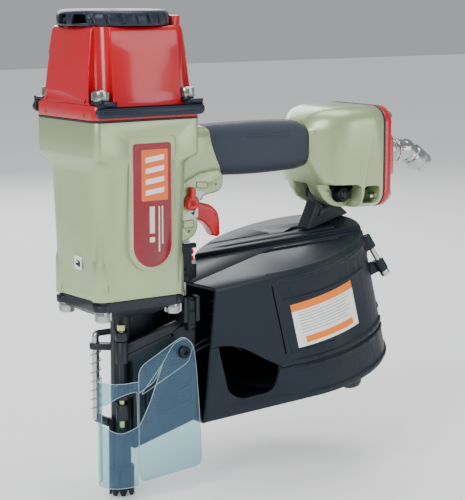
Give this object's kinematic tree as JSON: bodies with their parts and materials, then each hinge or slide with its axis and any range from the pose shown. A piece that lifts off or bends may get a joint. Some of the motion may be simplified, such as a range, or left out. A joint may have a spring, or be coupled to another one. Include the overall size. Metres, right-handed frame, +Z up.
{
  "type": "coil nailer",
  "caption": "Pneumatic coil nailer: cylinder head with cap, grip handle with air inlet, trigger, long toothed nose with hinged door and a tilted canister magazine with a swinging cover.",
  "frame": {"origin": "centre of the footprint at the level of the contact foot's teeth", "axes": "+Z up along the drive axis, +X to the rear towards the handle and air inlet, -Y the tool's left side, where the magazine's cover opens"},
  "size_m": [0.3804, 0.148, 0.3925],
  "materials": {
    "red_enamel": "gloss",
    "green_enamel": "satin",
    "dark_polymer": "satin",
    "grip_rubber": "matte",
    "black_seal": "matte",
    "bright_screws": "polished",
    "steel": "satin",
    "alloy": "machined",
    "dark_alloy": "satin",
    "black_steel": "blackened",
    "bumper_rubber": "matte",
    "clear_sheet": "clear",
    "red_plastic": "satin",
    "plated_pin": "plated"
  },
  "bodies": {
    "frame": {"arm_cover": "dark_polymer", "body_casting": "green_enamel", "bracket_bolt": "black_steel", "bumper": "bumper_rubber", "cap_bolt_1": "bright_screws", "cap_bolt_2": "bright_screws", "cap_bolt_3": "bright_screws", "cap_bolt_4": "bright_screws", "cap_gasket": "black_seal", "contact_arm_spring": "steel", "cover_hinge_pin": "steel", "cylinder_cap": "red_enamel", "cylinder_sleeve": "steel", "door_pin": "plated_pin", "end_cap": "red_enamel", "end_cap_screw_1": "bright_screws", "end_cap_screw_2": "bright_screws", "end_cap_screw_3": "bright_screws", "end_cap_screw_4": "bright_screws", "end_gasket": "black_seal", "exhaust_cover_screw": "steel", "feed_cylinder": "dark_alloy", "grip_sleeve": "grip_rubber", "guard_bar_left": "dark_polymer", "guard_bar_right": "dark_polymer", "head_valve_spring": "steel", "inlet_nipple": "bright_screws", "magazine_body": "dark_polymer", "magazine_bracket": "dark_alloy", "magazine_rest": "dark_polymer", "nail_spindle": "dark_polymer", "nose_bolt_1": "bright_screws", "nose_bolt_2": "bright_screws", "nose_bolt_3": "bright_screws", "nose_bolt_4": "bright_screws", "nose_casting": "dark_alloy", "rubber_foot": "black_seal", "shield_front": "clear_sheet", "trigger_valve_body": "dark_polymer"},
    "exhaust": {"exhaust_cover": "dark_polymer"},
    "head_valve": {"head_valve_piston": "alloy"},
    "piston": {"driver_piston": "alloy", "piston_ring": "black_seal"},
    "swivel": {"swivel_fitting": "bright_screws"},
    "trigger": {"trigger": "red_plastic"},
    "selector": {"selector_dial": "red_plastic"},
    "valve_stem": {"trigger_valve_stem": "steel"},
    "contact_arm": {"contact_arm_top": "steel"},
    "depth_wheel": {"depth_wheel": "red_plastic"},
    "contact_foot": {"contact_foot": "black_steel"},
    "door": {"nose_door": "black_steel", "latch_bracket": "black_steel", "shield_side": "clear_sheet", "shield_bolt": "black_steel"},
    "latch": {"door_latch": "black_steel"},
    "feeder": {"feed_pawl": "steel"},
    "cover": {"magazine_cover": "dark_polymer"},
    "nail_support": {"nail_support": "dark_polymer"}
  },
  "joints": [
    {"name": "exhaust_turn", "type": "hinge", "parent": "frame", "child": "exhaust", "pos_m": [-0.14552, 0.002, 0.38], "axis": [0, 0, 1], "continuous": true},
    {"name": "head_valve_slide", "type": "slide", "parent": "frame", "child": "head_valve", "axis": [0, 0, 1], "range_m": [0, 0.006], "stiffness_N_per_m": 400, "springref_m": -0.02, "deforming": ["head_valve_spring"]},
    {"name": "piston_slide", "type": "slide", "parent": "frame", "child": "piston", "axis": [0, 0, 1], "range_m": [-0.1135, 0]},
    {"name": "swivel_turn", "type": "hinge", "parent": "frame", "child": "swivel", "pos_m": [0.13048, 0.002, 0.265], "axis": [1, 0, 0], "continuous": true},
    {"name": "trigger_pull", "type": "hinge", "parent": "frame", "child": "trigger", "pos_m": [-0.08352, 0.002, 0.237], "axis": [0, -1, 0], "range_deg": [0, 12], "stiffness_Nm_per_rad": 0.3, "springref_deg": -11.46},
    {"name": "selector_turn", "type": "hinge", "parent": "frame", "child": "selector", "pos_m": [-0.08352, 0.002, 0.237], "axis": [0, 1, 0], "range_deg": [0, 90]},
    {"name": "valve_stem_slide", "type": "slide", "parent": "frame", "child": "valve_stem", "axis": [0, 0, 1], "range_m": [0, 0.0043]},
    {"name": "contact_arm_slide", "type": "slide", "parent": "frame", "child": "contact_arm", "axis": [0, 0, 1], "range_m": [0, 0.009], "stiffness_N_per_m": 300, "springref_m": -0.012, "deforming": ["contact_arm_spring"]},
    {"name": "depth_wheel_turn", "type": "hinge", "parent": "contact_arm", "child": "depth_wheel", "pos_m": [-0.07902, 0.002, 0.1866], "axis": [0, 0, 1], "range_deg": [-558, 558]},
    {"name": "contact_foot_slide", "type": "slide", "parent": "contact_arm", "child": "contact_foot", "axis": [0, 0, 1], "range_m": [-0.003, 0.003], "deforming": ["contact_arm_spring"]},
    {"name": "door_swing", "type": "hinge", "parent": "frame", "child": "door", "pos_m": [-0.15052, -0.014, 0.1], "axis": [0, 0, -1], "range_deg": [0, 80]},
    {"name": "latch_flip", "type": "hinge", "parent": "door", "child": "latch", "pos_m": [-0.08752, -0.0185, 0.1565], "axis": [-1, 0, 0], "range_deg": [0, 100]},
    {"name": "feeder_slide", "type": "slide", "parent": "frame", "child": "feeder", "axis": [1, 0, 0], "range_m": [0, 0.012], "stiffness_N_per_m": 150, "springref_m": -0.02},
    {"name": "cover_swing", "type": "hinge", "parent": "frame", "child": "cover", "pos_m": [0.08016, -0.05217, 0.18526], "axis": [-0.4628, 0.1993, 0.8638], "range_deg": [0, 75]},
    {"name": "nail_support_slide", "type": "slide", "parent": "frame", "child": "nail_support", "axis": [-0.2504, 0, 0.9681], "range_m": [0, 0.03]}
  ],
  "couplings": [
    {"joint": "valve_stem_slide", "follows": "trigger_pull", "m_per_rad": 0.02},
    {"joint": "depth_wheel_turn", "follows": "contact_foot_slide", "rad_per_m": 3141.6}
  ]
}
